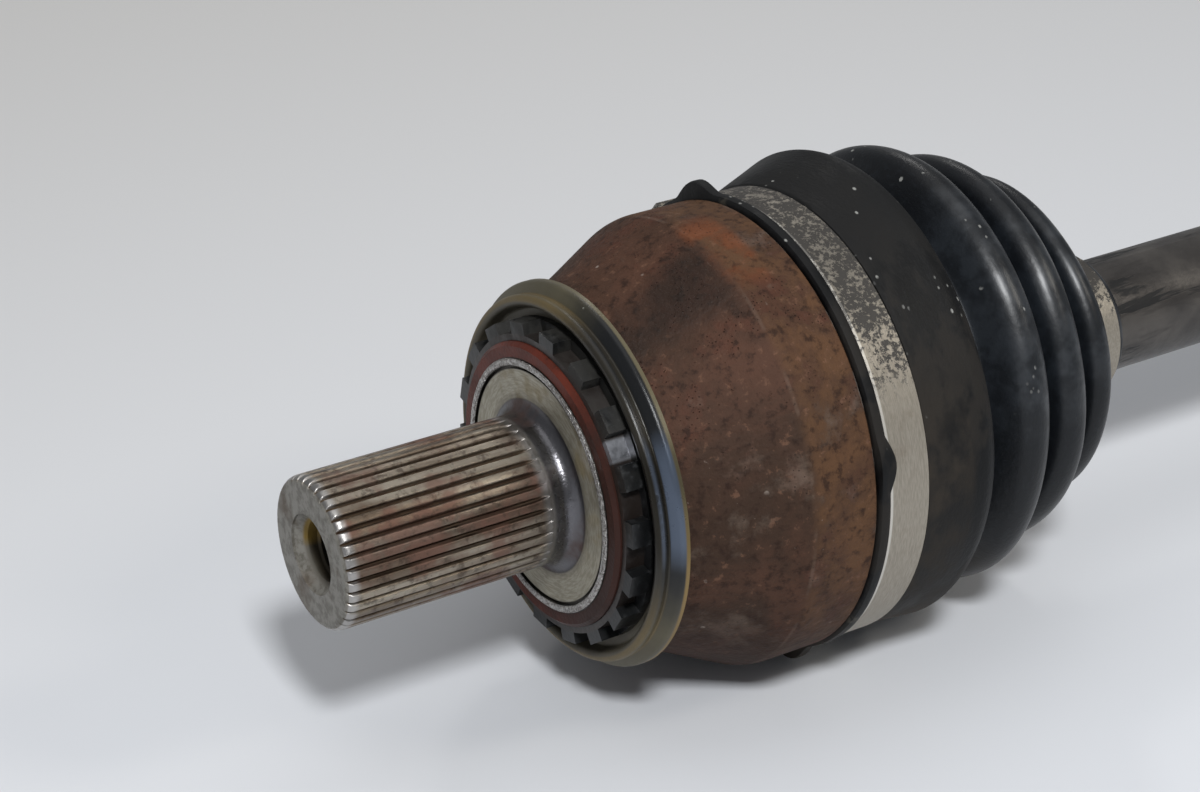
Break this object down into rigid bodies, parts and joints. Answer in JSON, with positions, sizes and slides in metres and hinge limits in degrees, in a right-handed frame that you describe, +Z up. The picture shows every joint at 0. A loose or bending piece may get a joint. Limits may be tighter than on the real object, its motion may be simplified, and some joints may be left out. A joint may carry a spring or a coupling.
{
  "type": "drive shaft",
  "caption": "Half shaft of a driven wheel: fixed ball joint with splined stub axle, solid bar, plunging ball joint with bolt flange, both under rubber boots.",
  "frame": {"origin": "centre of the stub axle's end face, where the axle bolt enters", "axes": "+X along the shaft from the wheel end to the gearbox end, +Z up as the shaft lies on a floor"},
  "size_m": [0.565, 0.1092, 0.0974],
  "materials": {
    "outer_housing": "rusty forging with bright machined stub",
    "castellated_ring": "black moulded",
    "dust_shield": "worn plated sheet",
    "boots": "matt black",
    "shaft_bar": "worn dark paint",
    "inner_housing": "machined forging",
    "pressed_caps": "plated sheet",
    "clamps": "bright band steel",
    "races": "ground steel",
    "snap_rings": "spring steel",
    "balls": "polished"
  },
  "bodies": {
    "wheel_end": {"outer_housing": "outer_housing", "castellated_ring": "castellated_ring", "dust_shield": "dust_shield", "outer_boot": "boots", "outer_boot_large_clamp": "clamps"},
    "outer_cage": {"outer_cage": "races", "outer_ball_1": "balls", "outer_ball_4": "balls"},
    "shaft": {"shaft_bar": "shaft_bar", "outer_star": "races", "outer_snap_ring": "snap_rings", "outer_boot_small_clamp": "clamps", "inner_star": "races", "inner_snap_ring": "snap_rings", "inner_boot_small_clamp": "clamps"},
    "inner_pole_balls": {"inner_ball_1": "balls", "inner_ball_4": "balls"},
    "inner_cage": {"inner_cage": "races"},
    "gearbox_end": {"inner_housing": "inner_housing", "grease_cap": "pressed_caps", "inner_boot_cap": "pressed_caps", "inner_boot": "boots", "inner_boot_large_clamp": "clamps"},
    "outer_ball_2": {"outer_ball_2": "balls"},
    "inner_ball_2": {"inner_ball_2": "balls"},
    "outer_ball_3": {"outer_ball_3": "balls"},
    "inner_ball_3": {"inner_ball_3": "balls"},
    "outer_ball_5": {"outer_ball_5": "balls"},
    "inner_ball_5": {"inner_ball_5": "balls"},
    "outer_ball_6": {"outer_ball_6": "balls"},
    "inner_ball_6": {"inner_ball_6": "balls"}
  },
  "joints": [
    {"name": "outer_bend", "type": "hinge", "parent": "wheel_end", "child": "shaft", "pos_m": [0.088, 0, 0], "axis": [0, 0, 1], "range_deg": [-42, 42], "deforming": ["outer_boot"]},
    {"name": "outer_cage_turn", "type": "hinge", "parent": "wheel_end", "child": "outer_cage", "pos_m": [0.088, 0, 0], "axis": [0, 0, 1], "range_deg": [-21, 21]},
    {"name": "inner_bend", "type": "hinge", "parent": "shaft", "child": "inner_pole_balls", "pos_m": [0.528, 0, 0], "axis": [0, 0, 1], "range_deg": [-20, 20], "deforming": ["inner_boot"]},
    {"name": "inner_cage_turn", "type": "hinge", "parent": "shaft", "child": "inner_cage", "pos_m": [0.528, 0, 0], "axis": [0, 0, 1], "range_deg": [-10, 10]},
    {"name": "plunge", "type": "slide", "parent": "inner_pole_balls", "child": "gearbox_end", "axis": [1, 0, 0], "range_m": [-0.012, 0.012]},
    {"name": "outer_ball_2_roll", "type": "hinge", "parent": "wheel_end", "child": "outer_ball_2", "pos_m": [0.092, 0, 0], "axis": [0, -0.5, -0.866], "range_deg": [-18.44, 18.44]},
    {"name": "inner_ball_2_roll", "type": "slide", "parent": "inner_pole_balls", "child": "inner_ball_2", "axis": [1, 0, 0], "range_m": [-0.00476, 0.00476]},
    {"name": "outer_ball_3_roll", "type": "hinge", "parent": "wheel_end", "child": "outer_ball_3", "pos_m": [0.092, 0, 0], "axis": [0, 0.5, -0.866], "range_deg": [-18.44, 18.44]},
    {"name": "inner_ball_3_roll", "type": "slide", "parent": "inner_pole_balls", "child": "inner_ball_3", "axis": [1, 0, 0], "range_m": [-0.00476, 0.00476]},
    {"name": "outer_ball_5_roll", "type": "hinge", "parent": "wheel_end", "child": "outer_ball_5", "pos_m": [0.092, 0, 0], "axis": [0, 0.5, 0.866], "range_deg": [-18.44, 18.44]},
    {"name": "inner_ball_5_roll", "type": "slide", "parent": "inner_pole_balls", "child": "inner_ball_5", "axis": [1, 0, 0], "range_m": [-0.00476, 0.00476]},
    {"name": "outer_ball_6_roll", "type": "hinge", "parent": "wheel_end", "child": "outer_ball_6", "pos_m": [0.092, 0, 0], "axis": [0, -0.5, 0.866], "range_deg": [-18.44, 18.44]},
    {"name": "inner_ball_6_roll", "type": "slide", "parent": "inner_pole_balls", "child": "inner_ball_6", "axis": [1, 0, 0], "range_m": [-0.00476, 0.00476]}
  ],
  "couplings": [
    {"joint": "outer_cage_turn", "follows": "outer_bend", "ratio": 0.5},
    {"joint": "inner_cage_turn", "follows": "inner_bend", "ratio": 0.5},
    {"joint": "outer_ball_2_roll", "follows": "outer_bend", "ratio": -0.43785},
    {"joint": "inner_ball_2_roll", "follows": "inner_bend", "m_per_rad": -0.013504},
    {"joint": "outer_ball_3_roll", "follows": "outer_bend", "ratio": -0.43785},
    {"joint": "inner_ball_3_roll", "follows": "inner_bend", "m_per_rad": -0.013504},
    {"joint": "outer_ball_5_roll", "follows": "outer_bend", "ratio": 0.43785},
    {"joint": "inner_ball_5_roll", "follows": "inner_bend", "m_per_rad": 0.013504},
    {"joint": "outer_ball_6_roll", "follows": "outer_bend", "ratio": 0.43785},
    {"joint": "inner_ball_6_roll", "follows": "inner_bend", "m_per_rad": 0.013504}
  ]
}
